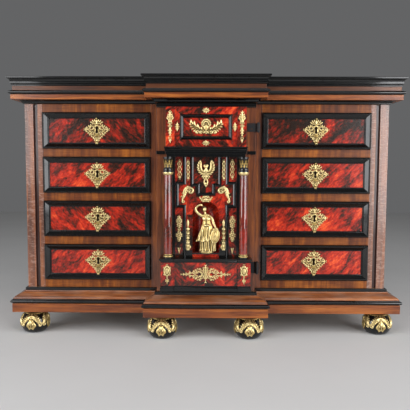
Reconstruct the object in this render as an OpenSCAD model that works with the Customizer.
// Table cabinet: two wings of four drawers each, either side of a standing-forward bay
// whose whole front is one hinged door dressed as a small portico with a figure in a niche.
// Z is up, the front faces -Y, and the origin is on the floor under the middle.

/* [Case] */
// Width of the central bay
bay_w = 262; // [256:1:300]
// How far the bay stands in front of the wings
bay_proud = 46; // [44:1:60]
// Depth of the case behind the front plane of the wings
case_d = 330; // [290:1:400]
// Thickness of the outer side boards
side_t = 23; // [18:0.5:30]
// Width of the dark groove beside each outer side board
groove_w = 11; // [6:0.5:16]
// Depth of that groove
groove_d = 8; // [3:0.5:16]
// Thickness of the inner side boards
inner_t = 13.75; // [10:0.25:20]
// Thickness of the partitions between wings and bay
partition_t = 20.25; // [14:0.25:28]
// Thickness of the side walls of the bay
bay_wall_t = 16; // [10:0.5:20]
// Thickness of the boards over and under the drawers
board_t = 22; // [16:0.5:28]
// Thickness of the top panel
top_t = 20; // [12:0.5:22]
// Thickness of the back panel
back_t = 8; // [5:0.5:14]
// Thickness of the hidden boards behind the cornice and the plinth
frieze_t = 20; // [12:0.5:22]

/* [Drawers] */
// Width of a drawer opening
drawer_w = 294; // [240:1:340]
// Height of a drawer opening
drawer_h = 98.5; // [92:0.5:120]
// Height of the rails between the drawers
rail_h = 21.6; // [14:0.1:30]
// Depth of those rails
rail_d = 30; // [20:1:60]
// Thickness of the dust boards that the drawers run on
dust_t = 10; // [6:0.5:14]
// Gap all round a drawer front
drawer_gap = 0.4; // [0.3:0.1:1]
// Room left behind a closed drawer
drawer_back_gap = 18; // [10:1:40]
// Thickness of a drawer front board
front_t = 18; // [14:0.5:22]
// How far the front board lies behind the rails
front_set = 6; // [4:0.5:9]
// Thickness of the sides and back of a drawer
drawer_side_t = 8; // [6:0.5:12]
// Thickness of a drawer bottom
drawer_bottom_t = 6; // [4:0.5:9]
// How much lower than the front the sides and back of a drawer are
drawer_side_drop = 9; // [4:0.5:20]
// Thickness of the shell veneer on a drawer front
veneer_t = 2; // [1:0.25:3]
// Width of the black moulding round a drawer front
mould_w = 16.5; // [12:0.5:22]
// How far that moulding stands in front of the rails
mould_proud = 8; // [4:0.5:12]

/* [Locks] */
// Width of an escutcheon
escutcheon_w = 60; // [50:1:64]
// Height of an escutcheon
escutcheon_h = 62; // [56:1:66]
// Thickness of an escutcheon
escutcheon_t = 1.8; // [1:0.1:3]
// Radius of the round top of a keyhole
key_r = 3.6; // [2.5:0.1:4.5]
// Width of the slot of a keyhole
key_slot_w = 4; // [2.5:0.1:5]
// Height of a keyhole from the centre of its round top to its foot
key_drop = 11; // [8:0.5:14]
// Width of a lock case
lock_w = 54; // [44:1:70]
// Height of a lock case
lock_h = 42; // [34:1:48]
// Thickness of a lock case
lock_t = 11; // [8:0.5:16]
// Diameter of the pins that hold an escutcheon
pin_d = 1.6; // [1:0.1:2.5]
// Gap between the door's lock case and the wall of the bay
lock_edge_gap = 5; // [4:0.5:10]

/* [Cornice] */
// Height of the black moulding under the cornice
bed_h = 9.5; // [6:0.1:14]
// Height of the lower wood band
band_low_h = 13.2; // [8:0.1:18]
// Height of the black bead between the bands
bead_h = 10.9; // [6:0.1:14]
// Height of the upper wood band
band_up_h = 11.5; // [8:0.1:18]
// Height of the black crown moulding
crown_h = 23.9; // [23:0.1:34]
// Reach of the moulding under the cornice
bed_e = 12; // [6:0.5:20]
// Reach of the lower wood band
band_low_e = 28; // [20:0.5:32]
// Reach of the black bead
bead_e = 33; // [24:0.5:38]
// Reach of the upper wood band
band_up_e = 24; // [16:0.5:30]
// Reach of the crown moulding
crown_e = 36; // [30:0.5:42]

/* [Plinth] */
// Height of the wood fascia of the plinth
fascia_h = 24; // [16:0.5:30]
// Height of the black bead over it
plinth_bead_h = 12; // [6:0.5:16]
// Height of the wood ogee over that
ogee_h = 18.5; // [12:0.5:26]
// Height of the black strip at the top of the plinth
strip_h = 8.5; // [4:0.5:12]
// Reach of the fascia
fascia_e = 34; // [26:0.5:38]
// Reach of the plinth bead
plinth_bead_e = 38; // [30:0.5:42]
// Reach of the foot of the ogee
ogee_e = 32; // [20:0.5:36]
// Reach of the top strip
strip_e = 6; // [3:0.5:10]

/* [Feet] */
// Height of a foot
foot_h = 64; // [50:1:80]
// Greatest radius of a foot
foot_r = 40; // [30:0.5:46]
// Radius of the flat under a foot
foot_flat_r = 24; // [16:0.5:28]
// Radius of the neck of a foot
foot_neck_r = 27; // [18:0.5:29]
// How far a foot's centre lies inside the corner that it carries
foot_inset = 13; // [6:0.5:20]
// Thickness of the gilt mounts on the feet
foot_mount_t = 2.4; // [1.5:0.1:4]

/* [Door] */
// Thickness of the door leaf
door_t = 22; // [18:0.5:26]
// Gap over and under the door
door_gap = 1; // [0.5:0.1:2]
// Gap beside the door
door_side_gap = 0.4; // [0.3:0.1:1]
// Thickness of the shell veneer on the door
door_veneer_t = 3; // [2:0.25:4]
// Height of the mouldings over that veneer
door_mould_proud = 5; // [3:0.5:7]
// Height of the black strip along the top of the door
head_strip_h = 12.3; // [8:0.1:16]
// Height of the block at the head of the door
block_h = 103; // [96:1:120]
// Half width of that block
block_half = 104.5; // [100:0.5:106]
// Width of the end dies of the block
block_die_w = 23; // [18:0.5:26]
// Reach of the block from the door's face
block_e = 20; // [14:0.5:26]
// How far the end dies stand in front of what they frame
die_proud = 3; // [2:0.5:5]
// Half width of the frame in the block
inset_half_w = 67.7; // [60:0.1:74]
// Half height of the frame in the block
inset_half_h = 32.6; // [28:0.1:36]
// Width of the moulding of that frame
inset_mould_w = 9.2; // [6:0.1:12]
// Height of the entablature
entab_h = 26.2; // [20:0.1:34]
// Reach of the entablature's cornice
entab_e = 44; // [40:0.5:48]
// Half width of the entablature
entab_half = 109; // [109:0.5:112]
// Height of the pedestal's base moulding
ped_base_h = 14.7; // [10:0.1:20]
// Height of the pedestal's die
ped_die_h = 61.3; // [54:0.1:70]
// Height of the pedestal's cap
ped_cap_h = 10.2; // [8:0.1:14]
// Bare wood under the pedestal
ped_foot_gap = 6.8; // [4:0.1:12]
// Distance of the pedestal's die from the edge of the door
ped_inset = 13.1; // [12:0.1:17]
// Width of the pedestal's end dies
ped_die_w = 34; // [28:0.5:38]
// Reach of the pedestal's die
ped_e = 29; // [24:0.5:34]
// Extra reach of the pedestal's cap and base
ped_cap_e = 8; // [5:0.5:10]

/* [Portico] */
// Distance of the outer frame's lugs below the entablature
lug_drop = 65; // [60:0.5:70]
// Height of the foot of those lugs over the spring of the arch
lug_rise = 19; // [10:0.5:26]
// Half width of the outer frame at its lugs
lug_x = 80; // [72:0.5:81]
// Half width of the outer frame between them
jamb_x = 60; // [56:0.5:64]
// Length of the centre panel below the entablature
panel_drop = 70; // [64:0.5:76]
// Half width of the centre panel
panel_x = 33; // [28:0.5:38]
// Outer half width of its frame
strip_x = 41; // [39:0.5:46]
// Length of the narrow foot of the centre panel, from the entablature down
tail_drop = 94; // [88:0.5:98]
// Half width of that foot
tail_x = 17; // [12:0.5:22]
// Width of the ribs
rib_w = 7; // [5:0.1:8]

/* [Columns] */
// Radius of a column shaft
column_r = 10.5; // [8:0.1:12]
// Distance from the middle of the door to a column
column_x = 98.5; // [96:0.1:99]
// Distance from the door's face to the middle of a column
column_e = 25; // [20:0.5:27]
// Height of a column base
column_base_h = 11.7; // [8:0.1:16]
// Height of a capital without its abacus
capital_h = 21.3; // [16:0.1:28]
// Height of the abacus
abacus_h = 6; // [3:0.1:9]
// Height of the black neck under the capital
neck_h = 12.2; // [8:0.1:16]
// Height of the gilt ring under the neck
ring_h = 7.8; // [5:0.1:12]

/* [Niche] */
// Radius of the niche
niche_r = 35.5; // [33:0.1:37]
// Height of the niche floor over the pedestal's cap
niche_floor = 12; // [6:0.5:16]
// Height of the niche from its floor to the spring of its arch
niche_spring = 101.5; // [96:0.5:112]
// Thickness of the wood round the niche
niche_wall = 5.5; // [4:0.5:8]

/* [Figure] */
// Height of the figure to the crown of its head
figure_h = 128; // [100:1:130]
// Height of the round base that it stands on
figure_base_h = 5; // [3:0.5:8]

/* [Gilt mounts] */
// Thickness of the mounts
mount_t = 2.2; // [1.5:0.1:3]
// Span of the winged head
winged_head_w = 84; // [70:1:92]
// Width and height of the flowers over and under it
flower_size = 20; // [14:0.5:24]
// Width of the drops on the dies of the head block
die_drop_w = 13; // [9:0.5:18]
// Length of those drops
die_drop_h = 84; // [60:1:96]
// Height of the winged figure
winged_figure_h = 79; // [60:1:84]
// Distance of its middle below the entablature
winged_figure_drop = 43; // [40:0.5:48]
// Width of the crown over the arch
keystone_w = 34; // [24:0.5:40]
// How far that crown's middle lies over the arch
keystone_rise = 6; // [5:0.5:10]
// Width of the openwork beside the winged figure
filigree_w = 12; // [8:0.5:16]
// Length of that openwork
filigree_h = 54; // [40:1:60]
// Distance of its middle below the entablature
filigree_drop = 33; // [30:0.5:36]
// Width of the scrolls over the arch
scroll_w = 42; // [34:0.5:48]
// Height of their middle over the spring of the arch
scroll_rise = 54; // [50:0.5:58]
// Width of the candelabra beside the niche
candelabra_w = 11; // [8:0.5:14]
// Length of those candelabra
candelabra_h = 80; // [60:1:90]
// Height of their middle over the niche floor
candelabra_rise = 50; // [44:0.5:60]
// Width of the flower chains beside the columns
flower_chain_w = 17; // [12:0.5:20]
// Length of those chains
flower_chain_h = 72; // [50:1:90]
// Height of their middle over the niche floor
flower_chain_rise = 68; // [60:0.5:74]
// Height of the small drop under a flower chain
small_drop_h = 16; // [10:0.5:20]
// Half length of the openwork on the pedestal
plaque_half = 66; // [50:1:74]
// Half height of that openwork
plaque_rise = 19; // [14:0.5:22]
// Width of the cartouches on the pedestal's end dies
cartouche_w = 19; // [14:0.5:26]
// Height of those cartouches
cartouche_h = 52; // [40:0.5:56]

/* [Hinges] */
// Radius of a hinge knuckle
knuckle_r = 5; // [4:0.1:7]
// Radius of a hinge pin
hinge_pin_r = 2.2; // [1.5:0.1:2.6]
// Running clearance round a hinge pin
pin_clear = 0.05; // [0.01:0.01:0.1]
// Thickness of a hinge leaf
hinge_t = 2; // [1.5:0.1:3]
// Height of the upper hinge
hinge_up_h = 22; // [18:0.5:30]
// Height of the lower hinge
hinge_low_h = 30; // [20:0.5:40]
// Depth of the hinge leaf on the side of the bay
hinge_side_w = 38; // [20:0.5:40]

/* [Hidden] */
rows = 4;
sides = ["left", "right"];
drawer_pieces = ["box", "frame", "panel", "lockset"];

// Half of the glue line between two fixed boards
glue = 0.05;
// Air between pieces that pass each other
air = 0.4;
$fn = 48;

// Widths, measured out from the middle
bay_half = bay_w / 2;
opening_x0 = bay_half + partition_t;
opening_x1 = opening_x0 + drawer_w;
groove_x0 = opening_x1 + inner_t;
side_x0 = groove_x0 + groove_w;
case_half = side_x0 + side_t;
compartment_half = bay_half - bay_wall_t;

// Depths, measured forward from the front plane of the wings
inside_back = -case_d + back_t;
door_back = bay_proud - door_t;
shell_p = bay_proud + door_veneer_t;
mould_p = shell_p + door_mould_proud;
front_reach = bay_proud + max(entab_e, crown_e, plinth_bead_e, ped_e + ped_cap_e + die_proud);
wing_y = (front_reach - case_d) / 2;
mitre_reach = front_reach;

// Heights
plinth_h = fascia_h + plinth_bead_h + ogee_h + strip_h;
field_z0 = foot_h + plinth_h;
pitch = drawer_h + rail_h;
field_z1 = field_z0 + rows * pitch + rail_h;
bead_z = field_z1 + bed_h + band_low_h;
crown_z = bead_z + bead_h + band_up_h;
case_z1 = crown_z + crown_h;
top_z0 = case_z1 - top_t;
bottom_z0 = field_z0 - board_t;

// Drawer
drawer_out_w = drawer_w - 2 * drawer_gap;
drawer_out_h = drawer_h - 2 * drawer_gap;
drawer_mid_x = opening_x0 + drawer_w / 2;
drawer_back_p = inside_back + drawer_back_gap;
stop_w = 20;
stop_h = 9;
panel_p = -front_set + veneer_t;

// Door heights, the head measured down and the pedestal up
door_half = bay_half - door_side_gap;
ped_half = door_half - ped_inset;
door_z0 = field_z0 + door_gap;
door_z1 = field_z1 - door_gap;
block_z1 = door_z1 - head_strip_h;
block_z0 = block_z1 - block_h;
entab_z0 = block_z0 - entab_h;
ped_z0 = door_z0 + ped_foot_gap;
die_z0 = ped_z0 + ped_base_h;
die_z1 = die_z0 + ped_die_h;
cap_z1 = die_z1 + ped_cap_h;
die_x0 = block_half - block_die_w;
inset_z = (block_z0 + block_z1) / 2;
inset_sink = 6;
inset_core_e = block_e - inset_sink;
inset_rise = 4;

// Niche
niche_z0 = cap_z1 + niche_floor;
spring_z = niche_z0 + niche_spring;
niche_half = niche_r + niche_wall + 1;
niche_top = spring_z + niche_r + niche_wall + 2;
niche_back = shell_p - niche_r - niche_wall;

// Portico mouldings
thin_rib = 5;
lug_z0 = spring_z + lug_rise;
lug_z1 = entab_z0 - lug_drop;
panel_z0 = entab_z0 - panel_drop;
tail_z0 = entab_z0 - tail_drop;
ground_t = 1.5;
foot_block_h = 7;
floor_lip = 3;
floor_bow = 14;

// Column
column_z0 = cap_z1;
abacus_z0 = entab_z0 - abacus_h;
capital_z0 = abacus_z0 - capital_h;
neck_z0 = capital_z0 - neck_h;
ring_z0 = neck_z0 - ring_h;
shaft_z0 = column_z0 + column_base_h;
sleeve = 0.1;

// Hinges
hinge_x = bay_half + knuckle_r + 0.5;
hinge_p = bay_proud + knuckle_r;
hinge_up_z = block_z0 + 40.5;
hinge_low_z = die_z0 + 28.5;
knuckle_gap = 0.3;
plate_gap = 0.5;
plate_up_gap = 3;
plate_low_gap = 1;
pin_head = 1.2;

// Colours
oak = "BurlyWood";
rosewood = "Sienna";
ebony = [0.09, 0.09, 0.1];
shell_red = "Firebrick";
gilt = "Goldenrod";
iron = [0.2, 0.2, 0.22];

// A straight block between two widths, two depths and two heights
module block(x0, x1, p0, p1, z0, z1) {
    translate([x0, wing_y - p1, z0]) cube([x1 - x0, p1 - p0, z1 - z0]);
}

// The same, less half a glue line on every face
module board(x0, x1, p0, p1, z0, z1) {
    block(x0 + glue, x1 - glue, p0 + glue, p1 - glue, z0 + glue, z1 - glue);
}

module both() {
    children();
    mirror([1, 0, 0]) children();
}

// A flat outline in the plane of the front, t thick, its back at depth p
module relief(x, p, z, t) {
    translate([x, wing_y - p, z]) rotate([90, 0, 0]) linear_extrude(t) children();
}

function arc(cx, cy, r, a0, a1, n = 6) =
    [for (i = [0 : n]) [cx + r * cos(a0 + (a1 - a0) * i / n), cy + r * sin(a0 + (a1 - a0) * i / n)]];
function ellipse(a, b, n = 24) = [for (i = [0 : n - 1]) [a * cos(360 * i / n), b * sin(360 * i / n)]];
function shifted(points, x, y) = [for (q = points) [q[0] + x, q[1] + y]];

// Moulding profiles: reach from the face, then height
function square_profile(e, h) = [[0, 0], [e, 0], [e, h], [0, h]];
function cove_profile(e0, e1, h) =
    concat([[0, 0], [e0, 0]], arc(e1, h * 0.15, min(h * 0.8, e1 - e0), 180, 95), [[e1, h], [0, h]]);
function bead_profile(e, h) =
    concat([[0, 0], [e - h * 0.5, 0], [e - h * 0.45, h * 0.12]], arc(e - h * 0.38, h / 2, h * 0.38, -90, 90, 10),
           [[e - h * 0.45, h * 0.88], [e - h * 0.5, h], [0, h]]);
// A cyma: a hollow below that flows into a round above, from e0 at the foot to e1 at the head
function cyma_profile(e0, e1, h, lip) =
    concat([[0, 0], [e0, 0], [e0, lip]],
           [for (i = [1 : 11]) [e0 + 1 + (e1 - 3 - e0) * (1 - cos(180 * i / 11)) / 2, lip + (h - 2 * lip - 1) * i / 11]],
           [[e1, h - lip], [e1, h], [0, h]]);
// The same upside down, widest at the foot
function ogee_profile(e0, e1, h) =
    concat([[0, 0], [e0, 0], [e0, 1.5]],
           [for (i = [1 : 12]) [e1 + (e0 - 1 - e1) * (1 + cos(180 * i / 12)) / 2, 1.5 + (h - 1.5) * i / 12]],
           [[0, h]]);

// One length of moulding along +X from the origin, facing -Y; an end is mitred outward
// with 1, inward with -1 and square with 0
module run(profile, len, k0, k1) {
    intersection() {
        translate([-mitre_reach, 0, 0]) rotate([90, 0, 90])
            linear_extrude(len + 2 * mitre_reach) polygon([for (q = profile) [-q[0], q[1]]]);
        translate([0, 0, -1]) linear_extrude(mitre_reach)
            polygon([[glue, 0], [len - glue, 0], [len - glue + k1 * mitre_reach, -mitre_reach],
                     [glue - k0 * mitre_reach, -mitre_reach]]);
    }
}

// A moulding round the whole front and both sides of the case, broken forward at the bay
module surround(profile, z) {
    both() {
        translate([-case_half, wing_y + case_d, z]) rotate([0, 0, -90]) run(profile, case_d, 0, 1);
        translate([-case_half, wing_y, z]) run(profile, case_half - bay_half, 1, -1);
        translate([-bay_half, wing_y, z]) rotate([0, 0, -90]) run(profile, bay_proud, -1, 1);
    }
    translate([-bay_half, wing_y - bay_proud, z]) run(profile, bay_w, 1, 1);
}

// Carcass
module case_sides() {
    color(rosewood) both() board(side_x0, case_half, -case_d - glue, 0, foot_h, top_z0);
}

module uprights() {
    color(rosewood) both() {
        board(groove_x0, side_x0, inside_back, -groove_d, field_z0, field_z1);
        board(opening_x1, groove_x0, inside_back, 0, field_z0, field_z1);
        board(bay_half, opening_x0, inside_back, 0, field_z0, field_z1);
        board(compartment_half, bay_half, inside_back, door_back - air, field_z0, field_z1);
    }
}

// A board across the case with a tongue that runs forward into the bay
module tier(z0, z1) {
    board(-side_x0, side_x0, inside_back, 0, z0, z1);
    board(-bay_half, bay_half, 0, bay_proud, z0, z1);
}

// Upright boards that back the mouldings of the cornice or the plinth
module frieze(z0, z1) {
    both() {
        board(bay_half, side_x0, -frieze_t, 0, z0, z1);
        board(bay_half - frieze_t, bay_half, -frieze_t, bay_proud - frieze_t, z0, z1);
    }
    board(-bay_half, bay_half, bay_proud - frieze_t, bay_proud, z0, z1);
}

module case_top() {
    color(oak) {
        tier(field_z1, field_z1 + board_t);
        frieze(field_z1 + board_t, top_z0);
    }
}

module case_bottom() {
    color(oak) {
        tier(bottom_z0, field_z0);
        frieze(foot_h, bottom_z0);
    }
}

module back_panel() {
    color(oak) board(-side_x0, side_x0, -case_d - glue, inside_back, foot_h, top_z0);
}

module top_panel() {
    color(rosewood) {
        board(-case_half, case_half, -case_d - glue, 0, top_z0, case_z1 + glue);
        board(-bay_half, bay_half, 0, bay_proud, top_z0, case_z1 + glue);
    }
}

module front_rails() {
    color(rosewood) both() for (i = [0 : rows])
        board(opening_x0, opening_x1, -rail_d, 0, field_z0 + i * pitch, field_z0 + i * pitch + rail_h);
}

module dust_boards() {
    color(oak) both() for (i = [0 : rows - 1]) {
        run_z = field_z0 + i * pitch + rail_h;
        board(opening_x0, opening_x1, inside_back, -rail_d, run_z - dust_t, run_z);
        for (x = [opening_x0 + stop_w, opening_x1 - 2 * stop_w])
            board(x, x + stop_w, inside_back, drawer_back_p - air, run_z, run_z + stop_h);
    }
}

// Cornice and plinth
module cornice_mouldings() {
    color(ebony) {
        surround(cove_profile(2, bed_e, bed_h), field_z1);
        surround(bead_profile(bead_e, bead_h), bead_z);
        surround(cyma_profile(band_up_e + 1, crown_e, crown_h, 3), crown_z);
    }
}

module cornice_bands() {
    color(rosewood) {
        surround(square_profile(band_low_e, band_low_h), field_z1 + bed_h);
        surround(square_profile(band_up_e, band_up_h), bead_z + bead_h);
    }
}

module plinth_mouldings() {
    color(ebony) {
        surround(bead_profile(plinth_bead_e, plinth_bead_h), foot_h + fascia_h);
        surround(square_profile(strip_e, strip_h), field_z0 - strip_h);
    }
}

module plinth_bands() {
    color(rosewood) {
        surround(square_profile(fascia_e, fascia_h), foot_h);
        surround(ogee_profile(ogee_e, strip_e + 1, ogee_h), foot_h + fascia_h + plinth_bead_h);
    }
}

// Feet: squashed buns, widest at a third of their height
foot_mid = foot_h * 0.36;
foot_neck_z = foot_h * 0.86;
function bun_r(z) = z < foot_mid
    ? foot_flat_r + (foot_r - foot_flat_r) * sqrt(1 - pow(1 - z / foot_mid, 2))
    : foot_neck_r + (foot_r - foot_neck_r) * sqrt(max(0, 1 - pow((z - foot_mid) / (foot_neck_z - foot_mid), 2)));
function bun_points(z0, z1, out, n) = [for (i = [0 : n]) let (z = z0 + (z1 - z0) * i / n) [bun_r(z) + out, z]];

module at_feet() {
    both() {
        for (p = [-foot_inset, foot_r + foot_mount_t - case_d])
            translate([case_half - foot_inset, wing_y - p, 0]) children();
        translate([bay_half - foot_inset, wing_y - bay_proud + foot_inset, 0]) children();
    }
}

module feet() {
    color(ebony) at_feet() rotate_extrude()
        polygon(concat([[0, 0]], bun_points(0, foot_neck_z, 0, 20), [[foot_neck_r, foot_h], [0, foot_h]]));
}

// A gilt collar with leaves that hang over the bun
module foot_mounts() {
    collar_z = foot_neck_z - 12;
    leaf_z = foot_mid - 8;
    color(gilt) at_feet() {
        rotate_extrude() polygon(concat(bun_points(collar_z, foot_neck_z - 1, sleeve, 5),
            [for (q = [5 : -1 : 0]) let (z = collar_z + (foot_neck_z - 1 - collar_z) * q / 5)
                [bun_r(z) + foot_mount_t, z]]));
        for (a = [0 : 60 : 300]) rotate([0, 0, a + 90 - 13]) rotate_extrude(angle = 26)
            polygon(concat(bun_points(leaf_z, collar_z + 1, sleeve, 7),
                [for (q = [7 : -1 : 0]) let (z = leaf_z + (collar_z + 1 - leaf_z) * q / 7)
                    [bun_r(z) + foot_mount_t, z]]));
    }
}

// Drawers
function drawer_z(row) = field_z0 + (rows - row) * pitch + rail_h + drawer_gap;
function side_sign(side) = side == "left" ? -1 : 1;

module at_drawer(side, row) {
    translate([side_sign(side) * drawer_mid_x, 0, drawer_z(row)]) children();
}

module keyhole_outline() {
    circle(r = key_r);
    translate([-key_slot_w / 2, -key_drop]) square([key_slot_w, key_drop]);
    translate([0, -key_drop]) circle(r = key_slot_w * 0.7);
}

// A keyhole cut between two depths
key_z = drawer_out_h / 2 + key_drop / 2 + 2;
module keyhole_cut(p0, p1) {
    relief(0, p0, key_z, p1 - p0) keyhole_outline();
}

module drawer_box() {
    w = drawer_out_w / 2;
    side_h = drawer_out_h - drawer_side_drop;
    inner_p = -front_set - front_t;
    color(oak) {
        difference() {
            block(-w, w, inner_p, -front_set, 0, drawer_out_h);
            keyhole_cut(inner_p - 1, 0);
        }
        both() board(w - drawer_side_t, w, drawer_back_p, inner_p, 0, side_h);
        board(-w + drawer_side_t, w - drawer_side_t, drawer_back_p, drawer_back_p + drawer_side_t,
              drawer_bottom_t, side_h);
        board(-w + drawer_side_t, w - drawer_side_t, drawer_back_p, inner_p, 0, drawer_bottom_t);
    }
}

// Section of the moulding on a drawer front: distance in from its outer edge, then depth
function drawer_section() = let (top = mould_proud, low = panel_p + 2.5, flat = 3.5, bead = 3)
    concat([[0, -front_set], [0, top - 1], [1, top], [flat, top]],
           [for (i = [1 : 6]) [flat + (mould_w - 2 * flat) * i / 6, top - (top - low) * (1 - cos(90 * i / 6))]],
           [[mould_w - bead, low + 1], [mould_w - 0.8, low + 1], [mould_w, low], [mould_w, -front_set]]);

// One mitred length of moulding on a front w wide, along its lower edge
module frame_length(section, w, width) {
    intersection() {
        translate([-w / 2, 0, 0]) rotate([90, 0, 90]) linear_extrude(w)
            polygon([for (q = section) [wing_y - q[1], q[0]]]);
        translate([0, wing_y, 0]) rotate([90, 0, 0]) linear_extrude(4 * mitre_reach, center = true)
            polygon([[-w / 2 + glue, 0], [w / 2 - glue, 0], [w / 2 - glue - width, width],
                     [-w / 2 + glue + width, width]]);
    }
}

// Four such lengths round an opening of w by h whose lower left corner is at (-w / 2, 0)
module mitred_frame(section, w, h, width) {
    for (turn = [0, 180]) translate([0, 0, turn == 0 ? 0 : h]) rotate([0, turn, 0])
        frame_length(section, w, width);
    for (turn = [90, -90]) translate([turn > 0 ? -w / 2 : w / 2, 0, h / 2]) rotate([0, turn, 0])
        frame_length(section, h, width);
}

module drawer_frame() {
    color(ebony) mitred_frame(drawer_section(), drawer_out_w, drawer_out_h, mould_w);
}

module drawer_panel() {
    w = drawer_out_w / 2 - mould_w;
    color(shell_red) both() difference() {
        board(0, w, -front_set, panel_p + glue, mould_w, drawer_out_h - mould_w);
        keyhole_cut(-front_set - 1, 0);
    }
}

// A pierced lozenge with a scalloped edge
module escutcheon_outline() {
    a = escutcheon_w / 2;
    b = escutcheon_h / 2;
    difference() {
        polygon([for (i = [0 : 47]) let (t = i * 7.5, r = 1 / (abs(cos(t)) / a + abs(sin(t)) / b))
            [r * (1 + 0.12 * pow(sin(4 * t), 2)) * cos(t), r * (1 + 0.12 * pow(sin(4 * t), 2)) * sin(t)]]);
        for (x = [-1, 1]) {
            translate([x * a * 0.5, b * 0.16]) circle(r = a * 0.11);
            translate([x * a * 0.22, b * 0.46]) circle(r = a * 0.08);
            translate([x * a * 0.3, -b * 0.3]) circle(r = a * 0.1);
        }
        translate([0, key_z - drawer_out_h / 2]) keyhole_outline();
    }
}

module drawer_lockset() {
    mid = drawer_out_h / 2;
    inner_p = -front_set - front_t;
    lock_z0 = drawer_out_h - drawer_side_drop - lock_h;
    color(gilt) {
        relief(0, panel_p, mid, escutcheon_t) escutcheon_outline();
        for (x = [-0.7, 0.7]) relief(x * escutcheon_w / 2, panel_p + escutcheon_t + glue, mid, pin_d / 2)
            circle(d = 2 * pin_d);
    }
    color(iron) {
        difference() {
            board(-lock_w / 2, lock_w / 2, inner_p - lock_t, inner_p, lock_z0, lock_z0 + lock_h);
            keyhole_cut(inner_p - lock_t / 2, inner_p + 1);
            block(-lock_w / 4, lock_w / 4, inner_p - lock_t * 0.75, inner_p - lock_t * 0.25,
                  lock_z0 + lock_h * 0.8, lock_z0 + lock_h + 1);
        }
        board(-lock_w / 4 + air, lock_w / 4 - air, inner_p - lock_t * 0.75 + air, inner_p - lock_t * 0.25 - air,
              lock_z0 + lock_h * 0.8, lock_z0 + lock_h - 1);
    }
}

module drawer_piece(side, row, piece) {
    at_drawer(side, row) {
        if (piece == "box") drawer_box();
        if (piece == "frame") drawer_frame();
        if (piece == "panel") drawer_panel();
        if (piece == "lockset") drawer_lockset();
    }
}

// Door leaf: four boards round the niche, with the block that carries the head panel
module door_leaf() {
    color(rosewood) {
        both() board(niche_half, door_half, door_back, bay_proud, door_z0, door_z1);
        board(-niche_half, niche_half, door_back, bay_proud, niche_top, door_z1);
        board(-niche_half, niche_half, door_back, bay_proud, door_z0, niche_z0 - niche_wall);
        board(-block_half, block_half, bay_proud, bay_proud + inset_core_e, block_z0, block_z1);
    }
}

// The hollow of the niche: a half cylinder under a quarter sphere, open to the front
module niche_hollow(r) {
    translate([0, wing_y - shell_p, niche_z0]) {
        cylinder(r = r, h = niche_spring);
        translate([0, 0, niche_spring]) sphere(r = r);
    }
}

module niche() {
    color(shell_red) difference() {
        board(-niche_half, niche_half, niche_back, bay_proud, niche_z0 - niche_wall, niche_top);
        niche_hollow(niche_r);
    }
}

// Shell veneer on the portico, the head block and the pedestal
module door_shell_panels() {
    block_mid_p = bay_proud + inset_core_e;
    block_p = bay_proud + block_e;
    ped_p = bay_proud + ped_e;
    color(shell_red) {
        board(-die_x0, die_x0, bay_proud, shell_p, niche_top, entab_z0);
        board(-niche_r, niche_r, bay_proud, shell_p, cap_z1, niche_z0);
        both() {
            board(niche_half, die_x0, bay_proud, shell_p, cap_z1, niche_top);
            board(niche_r, niche_half, bay_proud, shell_p, cap_z1, spring_z);
            intersection() {
                board(0, niche_half, bay_proud, shell_p, spring_z, niche_top);
                difference() {
                    board(0, niche_half, bay_proud - 1, shell_p + 1, spring_z, niche_top);
                    relief(0, bay_proud - 1, spring_z, shell_p + 2) circle(r = niche_r);
                }
            }
            board(die_x0, block_half, block_mid_p, block_p + die_proud, block_z0, block_z1);
            board(inset_half_w, die_x0, block_mid_p, block_p, block_z0, block_z1);
            board(ped_half - ped_die_w, ped_half, ped_p, ped_p + die_proud + door_veneer_t, die_z0, die_z1);
        }
        for (z = [[block_z0, inset_z - inset_half_h], [inset_z + inset_half_h, block_z1]])
            board(-inset_half_w, inset_half_w, block_mid_p, block_p, z[0], z[1]);
        board(-inset_half_w + inset_mould_w, inset_half_w - inset_mould_w, block_mid_p, block_mid_p + veneer_t,
              inset_z - inset_half_h + inset_mould_w, inset_z + inset_half_h - inset_mould_w);
        board(-ped_half + ped_die_w, ped_half - ped_die_w, ped_p, ped_p + door_veneer_t, die_z0, die_z1);
    }
}

// Section of the frame in the head block: distance in from its outer edge, then depth
function inset_section() = let (low = bay_proud + inset_core_e, top = bay_proud + block_e + inset_rise)
    [[0, low], [0, top], [inset_mould_w * 0.2, top], [inset_mould_w * 0.72, low + inset_rise],
     [inset_mould_w * 0.9, low + inset_rise], [inset_mould_w, low + inset_rise - 1], [inset_mould_w, low]];

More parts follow.
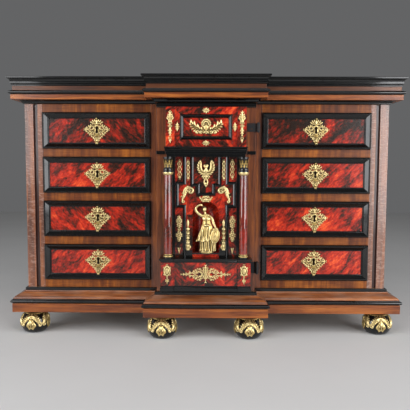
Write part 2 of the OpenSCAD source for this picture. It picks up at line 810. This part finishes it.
module door_mouldings() {
    color(ebony) {
        board(-door_half, door_half, bay_proud, bay_proud + 2 * die_proud, block_z1, door_z1);
        translate([0, 0, inset_z - inset_half_h])
            mitred_frame(inset_section(), 2 * inset_half_w, 2 * inset_half_h, inset_mould_w);
        both() {
            // Ribs of the lugged frame, from the pedestal up and then from the head down
            board(jamb_x - rib_w, jamb_x, shell_p, mould_p, cap_z1, lug_z0);
            board(jamb_x - rib_w, lug_x, shell_p, mould_p, lug_z0, lug_z0 + rib_w);
            board(lug_x - thin_rib, lug_x, shell_p, mould_p, lug_z0 + rib_w, lug_z1 - rib_w);
            board(jamb_x - rib_w, lug_x, shell_p, mould_p, lug_z1 - rib_w, lug_z1);
            board(jamb_x - rib_w, jamb_x, shell_p, mould_p, lug_z1, entab_z0);
            // Frame of the centre panel, which narrows at its foot
            board(panel_x, strip_x, shell_p, mould_p, panel_z0, entab_z0);
            board(tail_x, strip_x, shell_p, mould_p, panel_z0 - rib_w, panel_z0);
            board(tail_x, tail_x + rib_w, shell_p, mould_p, tail_z0, panel_z0 - rib_w);
            // Blocks beside the niche floor, and the dark ground behind the columns
            board(niche_r, jamb_x - rib_w, shell_p, mould_p, cap_z1, niche_z0 + foot_block_h);
            board(die_x0, entab_half, bay_proud, bay_proud + ground_t, cap_z1, entab_z0);
        }
        board(-tail_x - rib_w, tail_x + rib_w, shell_p, mould_p, tail_z0 - rib_w, tail_z0);
        difference() {
            board(-niche_r, niche_r, shell_p, mould_p, niche_z0 - floor_lip, niche_z0);
            niche_hollow(niche_r - floor_bow);
        }
    }
}

// Stepped slabs, each [height, reach beyond the face], stacked up from z
module stepped(x0, x1, p, z, steps, i = 0) {
    if (i < len(steps)) {
        block(x0 - steps[i][1], x1 + steps[i][1], bay_proud + glue, p + steps[i][1], z, z + steps[i][0]);
        stepped(x0, x1, p, z + steps[i][0], steps, i + 1);
    }
}

module door_entablature() {
    crown_reach = 10;
    core_e = entab_e - crown_reach;
    core_half = entab_half - crown_reach / 2;
    crown_h = entab_h * 0.33 - 3 * glue;
    strip_z0 = entab_z0 + entab_h * 0.27;
    color(ebony) {
        stepped(-core_half, core_half, bay_proud + core_e, entab_z0 + glue,
                [[entab_h * 0.3, -2], [entab_h * 0.25, 0], [entab_h * 0.12, 2]]);
        translate([-core_half, wing_y - bay_proud - core_e, entab_z0 + entab_h * 0.67 + 2 * glue]) {
            lip = crown_h * 0.16;
            side_crown = cyma_profile(2, entab_half - core_half, crown_h, lip);
            run(cyma_profile(2, crown_reach, crown_h, lip), 2 * core_half, 0, 0);
            for (s = [0, 1]) translate([s * 2 * core_half, s == 0 ? core_e - glue : 0, 0])
                rotate([0, 0, s == 0 ? -90 : 90]) run(side_crown, core_e - glue, 0, 0);
        }
        both() board(entab_half, door_half, bay_proud, bay_proud + 4, strip_z0, strip_z0 + entab_h * 0.34);
    }
}

module door_pedestal() {
    inner = ped_half - ped_die_w;
    ped_return = 5.5;
    base = [[ped_base_h * 0.55, ped_cap_e - 2], [ped_base_h * 0.25, ped_cap_e - 4], [ped_base_h * 0.2, 1]];
    cap = [[ped_cap_h * 0.3, 2], [ped_cap_h * 0.3, ped_cap_e - 3], [ped_cap_h * 0.4, ped_cap_e]];
    color(ebony) {
        board(-ped_half, ped_half, bay_proud, bay_proud + ped_e, die_z0, die_z1);
        for (part = [[ped_z0, base], [die_z1, cap]]) {
            intersection() {
                board(-inner, inner, bay_proud, bay_proud + 2 * ped_e, ped_z0 - 1, cap_z1 + 1);
                stepped(-inner, inner, bay_proud + ped_e, part[0], part[1]);
            }
            both() intersection() {
                board(inner, ped_half + ped_return, bay_proud, bay_proud + 2 * ped_e, ped_z0 - 1, cap_z1 + 1);
                stepped(inner, ped_half - 4, bay_proud + ped_e + die_proud, part[0], part[1]);
            }
        }
    }
}

// Columns
module at_columns() {
    both() translate([column_x, wing_y - bay_proud - column_e, 0]) children();
}

module columns() {
    color(shell_red) at_columns() {
        translate([0, 0, shaft_z0]) rotate_extrude() polygon(concat([[0, glue]],
            [for (i = [0 : 12]) let (s = i / 12) [column_r - 1.2 * s * s, glue + s * (ring_z0 - shaft_z0)]],
            [[column_r - 1.2, neck_z0 - shaft_z0], [0, neck_z0 - shaft_z0]]));
        translate([0, 0, neck_z0 + glue]) cylinder(r = column_r + 0.8, h = neck_h - 2 * glue);
        translate([0, 0, abacus_z0 + glue]) cylinder(r = column_r + 1.6, h = abacus_h - 2 * glue);
    }
}

module column_mounts() {
    base_h = column_base_h - 2 * glue;
    bell_h = capital_h - 2 * glue;
    color(gilt) at_columns() {
        translate([0, 0, column_z0 + glue]) rotate_extrude() polygon(concat([[0, 0]],
            arc(column_r + 0.6, base_h * 0.22, base_h * 0.22, -90, 90), [[column_r - 0.3, base_h * 0.6]],
            arc(column_r - 0.4, base_h * 0.8, base_h * 0.18, -90, 90), [[0, base_h]]));
        translate([0, 0, ring_z0 + glue]) difference() {
            rotate_extrude() polygon(concat([[0, 0], [column_r - 0.6, 0]],
                [for (i = [1 : 6]) [column_r - 0.6 + 2.4 * sin(15 * i), ring_h * 0.8 * i / 6]],
                [[column_r + 1.8, ring_h - 2 * glue], [0, ring_h - 2 * glue]]));
            translate([0, 0, -1]) cylinder(r = column_r - 1.2 + sleeve, h = ring_h + 2);
        }
        translate([0, 0, capital_z0 + glue]) rotate_extrude() polygon(concat([[0, 0], [column_r - 1.2, 0]],
            [for (i = [1 : 8]) [column_r - 1.2 + 3.2 * pow(i / 8, 2), bell_h * i / 8]], [[0, bell_h]]));
    }
}

// Gilt mounts of the door
module drop_outline(w, h) {
    polygon([for (i = [0 : 19]) let (t = i * 18) [w / 2 * sin(t) * sin(t / 2) * 1.3, h / 2 * cos(t)]]);
}

module flower_outline(w, h) {
    polygon([for (i = [0 : 31]) let (t = i * 11.25, k = 0.62 + 0.38 * pow(cos(2 * t), 2))
        [w / 2 * k * cos(t), h / 2 * k * sin(t)]]);
}

// A hanging chain of drops that overlap, w wide and h high, from its centre
module chain_outline(w, h, count) {
    step = h / count;
    for (i = [0 : count - 1]) translate([0, h / 2 - step * (i + 0.5)])
        flower_outline(w * (0.7 + 0.3 * cos(180 * i)), step * 1.35);
}

// One wing that springs from the origin, w long, its feathers rising to a tip
module wing_outline(w) {
    difference() {
        translate([w / 2, w * 0.36]) circle(r = w / 2);
        translate([w * 0.57, w * 0.57]) circle(r = w * 0.48);
        translate([-w, w * 0.4]) square([2.6 * w, w]);
    }
}

// A round head between two wings, over a scrolled foot
module winged_head_outline(w) {
    translate([0, w * 0.05]) circle(r = w * 0.137);
    for (s = [0, 1]) mirror([s, 0]) {
        wing_outline(w / 2);
        translate([w * 0.12, -w * 0.13]) circle(r = w * 0.06);
        translate([w * 0.24, -w * 0.155]) circle(r = w * 0.048);
    }
    translate([-w * 0.24, -w * 0.18]) square([w * 0.48, w * 0.095]);
}

// A head and body over a tail, between two raised wings
module winged_figure_outline(h) {
    translate([0, h * 0.215]) circle(r = h * 0.076);
    polygon(shifted(ellipse(h * 0.1, h * 0.228), 0, -h * 0.025));
    translate([0, -h * 0.316]) drop_outline(h * 0.14, h * 0.3);
    for (s = [0, 1]) mirror([s, 0]) difference() {
        polygon(shifted(ellipse(h * 0.25, h * 0.43, 32), h * 0.025, h * 0.1));
        polygon(shifted(ellipse(h * 0.115, h * 0.38, 32), h * 0.05, h * 0.253));
        translate([-h, -h]) square([h, 2 * h]);
        translate([0, -h]) square([h, h * 0.848]);
    }
}

// A comma-shaped scroll, its round end inside and its tail outside
module scroll_outline(w) {
    translate([-w * 0.29, w * 0.19]) circle(r = w * 0.21);
    translate([0, w * 0.1]) circle(r = w * 0.21);
    translate([w * 0.12, -w * 0.12]) circle(r = w * 0.21);
    translate([w * 0.26, -w * 0.31]) circle(r = w * 0.17);
}

// An openwork lozenge with a scalloped edge, a half long and b half high
module plaque_outline(a, b) {
    difference() {
        union() {
            polygon([for (i = [0 : 71]) let (t = i * 5, r = 1 / (abs(cos(t)) / a + abs(sin(t)) / b),
                    k = 1 + 0.16 * pow(sin(5 * t), 2)) [r * k * cos(t), r * k * sin(t)]]);
            translate([0, b * 0.74]) drop_outline(b * 0.47, b * 0.8);
        }
        for (x = [-1, 1]) for (i = [1 : 4]) translate([x * a * 0.15 * i, 0]) circle(r = b * (0.18 - 0.026 * i));
    }
}

module on_door(x, z, p = shell_p) {
    relief(x, p + glue, z, mount_t) children();
}

module door_mounts() {
    block_p = bay_proud + block_e;
    ped_p = bay_proud + ped_e + door_veneer_t;
    ped_mid = (die_z0 + die_z1) / 2;
    lug_mid = (jamb_x + lug_x) / 2;
    strip_mid = (strip_x + jamb_x - rib_w) / 2;
    pilaster_mid = (niche_half + jamb_x - rib_w) / 2;
    bay_mid = (jamb_x + die_x0) / 2;
    color(gilt) {
        on_door(0, inset_z, bay_proud + inset_core_e + veneer_t) winged_head_outline(winged_head_w);
        for (s = [-1, 1]) {
            on_door(0, inset_z + s * (block_h / 2 + inset_half_h) / 2, block_p)
                flower_outline(flower_size, flower_size * 0.7);
            on_door(s * (die_x0 + inset_half_w) / 2, inset_z, block_p)
                flower_outline(flower_size * 0.6, flower_size * 1.1);
        }
        on_door(0, entab_z0 - winged_figure_drop) winged_figure_outline(winged_figure_h);
        on_door(0, spring_z + niche_r + keystone_rise) flower_outline(keystone_w, keystone_w / 2);
        both() {
            on_door(die_x0 + block_die_w / 2, inset_z, block_p + die_proud) chain_outline(die_drop_w, die_drop_h, 6);
            on_door(strip_mid, entab_z0 - filigree_drop) chain_outline(filigree_w * 0.8, filigree_h, 5);
            on_door(lug_mid, entab_z0 - filigree_drop) chain_outline(filigree_w, filigree_h - 2, 4);
            on_door(strip_mid + 1, spring_z + scroll_rise) scroll_outline(scroll_w);
            on_door(pilaster_mid, niche_z0 + candelabra_rise) chain_outline(candelabra_w, candelabra_h, 8);
            on_door(bay_mid, niche_z0 + flower_chain_rise) chain_outline(flower_chain_w, flower_chain_h, 4);
            on_door(bay_mid, niche_z0 + small_drop_h / 3) drop_outline(small_drop_h * 0.45, small_drop_h);
            on_door(ped_half - ped_die_w / 2, ped_mid, ped_p + die_proud) chain_outline(cartouche_w, cartouche_h, 2);
        }
        on_door(0, ped_mid, ped_p) plaque_outline(plaque_half, plaque_rise);
    }
}

// A robed figure that stands in the niche, one arm raised and one hand on a shield
module limb(a, b, ra, rb) {
    hull() {
        translate(a) sphere(r = ra, $fn = 16);
        translate(b) sphere(r = rb, $fn = 16);
    }
}

module disc(x, y, z, a, b, h) {
    translate([x, y, z]) linear_extrude(h) polygon(ellipse(a, b, 20));
}

// Its sizes are counted in heads, eight to its height
module figure() {
    y0 = wing_y - shell_p;
    head = figure_h / 8;
    foot = figure_base_h;
    function at(x, y, z) = [x * head, y * head, z * head];
    hips = [-0.12, 0, 2.9, 1, 0.69];
    waist = [0.06, 0, 5.25, 0.6, 0.44];
    chest = [0, 0, 6.45, 0.63, 0.4];
    module level(q, n = 0.06) disc(q[0] * head, q[1] * head, q[2] * head, q[3] * head, q[4] * head, n * head);
    color(gilt) translate([1, y0, niche_z0 + glue]) {
        disc(0, 0, 0, head, head * 0.75, foot);
        hull() {
            disc(0, 0, foot - 1, head * 0.75, head * 0.56, 1);
            level(hips);
        }
        hull() {
            level(hips);
            level(waist);
        }
        hull() {
            level(waist);
            level(chest);
        }
        limb(at(0, 0, 6.4), at(0.06, 0, 7.25), head * 0.34, head * 0.22);
        translate(at(0.12, -0.06, 7.56)) sphere(r = head * 0.44, $fn = 20);
        limb(at(-0.5, 0, 6.44), at(-1.56, -0.19, 7), head * 0.27, head * 0.21);
        limb(at(-1.56, -0.19, 7), at(-0.94, -0.25, 8.19), head * 0.21, head * 0.16);
        limb(at(0.56, 0, 6.38), at(1.31, -0.25, 5.12), head * 0.26, head * 0.21);
        limb(at(1.31, -0.25, 5.12), at(1.56, -0.38, 4.38), head * 0.21, head * 0.17);
        limb(at(-0.88, 0.12, 4.75), at(-1.56, 0.06, 2.75), head * 0.25, head * 0.34);
        translate(at(1.25, -0.5, 2.75)) rotate([90, 0, 0])
            linear_extrude(head * 0.3) polygon(ellipse(head * 0.81, head * 1.69, 24));
        hull() {
            disc(head * 0.88, 0, foot - 1, head * 0.56, head * 0.5, 1);
            level([0.88, -0.19, 2.5, 0.62, 0.44]);
        }
    }
}

// Hinges: plates on the door's face and on the side of the bay, three knuckles each
module at_hinges() {
    for (h = [[hinge_up_z, hinge_up_h, block_half + plate_up_gap], [hinge_low_z, hinge_low_h, ped_half + plate_low_gap]])
        translate([0, 0, h[0]]) {
            $hinge_h = h[1];
            $plate_x = h[2];
            children();
        }
}

module knuckle(z0, z1) {
    translate([hinge_x, wing_y - hinge_p, z0]) cylinder(r = knuckle_r, h = z1 - z0);
}

module pin_bore() {
    translate([hinge_x, wing_y - hinge_p, -1]) cylinder(r = hinge_pin_r + pin_clear, h = $hinge_h + 2);
}

module case_hinge_leaves() {
    x0 = bay_half + 2 * glue;
    color(iron) at_hinges() {
        third = $hinge_h / 3;
        difference() {
            union() {
                block(x0, x0 + hinge_t, bay_proud - hinge_side_w, bay_proud - plate_gap, 0, $hinge_h);
                for (z = [0, 2 * third + knuckle_gap]) {
                    block(x0, x0 + hinge_t, bay_proud - plate_gap - 1, hinge_p, z, z + third - knuckle_gap);
                    knuckle(z, z + third - knuckle_gap);
                }
            }
            pin_bore();
        }
    }
}

module door_hinge_leaves() {
    color(iron) at_hinges() {
        third = $hinge_h / 3;
        difference() {
            union() {
                block($plate_x, door_half, bay_proud + glue, bay_proud + hinge_t, 0, $hinge_h);
                block(door_half - 1, hinge_x, bay_proud + glue, bay_proud + hinge_t, third, 2 * third);
                knuckle(third, 2 * third);
            }
            pin_bore();
        }
    }
}

module hinge_pins() {
    color(iron) at_hinges() translate([hinge_x, wing_y - hinge_p, 0]) {
        translate([0, 0, -pin_head]) cylinder(r = hinge_pin_r, h = $hinge_h + 2 * pin_head);
        for (z = [-2 * pin_head, $hinge_h + pin_head]) translate([0, 0, z])
            cylinder(r = hinge_pin_r + pin_head / 2, h = pin_head);
    }
}

// A lock on the inner face of the door at its free edge, its bolt drawn back
module door_lock() {
    bolt_l = 10;
    z0 = (niche_z0 + spring_z) / 2;
    lock_p = door_back - lock_t;
    edge = compartment_half - lock_edge_gap;
    color(iron) {
        difference() {
            board(-edge, -edge + lock_h, lock_p, door_back, z0, z0 + lock_w);
            block(-edge - 1, -edge + bolt_l, lock_p + lock_t * 0.25, lock_p + lock_t * 0.75,
                  z0 + lock_w * 0.3, z0 + lock_w * 0.7);
        }
        board(-edge + 1, -edge + bolt_l - air, lock_p + lock_t * 0.25 + air, lock_p + lock_t * 0.75 - air,
              z0 + lock_w * 0.3 + air, z0 + lock_w * 0.7 - air);
    }
}

case_sides();
uprights();
case_top();
case_bottom();
back_panel();
front_rails();
dust_boards();
top_panel();
cornice_mouldings();
cornice_bands();
plinth_mouldings();
plinth_bands();
feet();
foot_mounts();
case_hinge_leaves();
hinge_pins();
door_leaf();
door_shell_panels();
door_mouldings();
door_entablature();
door_pedestal();
niche();
columns();
column_mounts();
door_mounts();
figure();
door_hinge_leaves();
door_lock();
for (s = sides) for (r = [1 : rows]) for (p = drawer_pieces)
    drawer_piece(s, r, p);
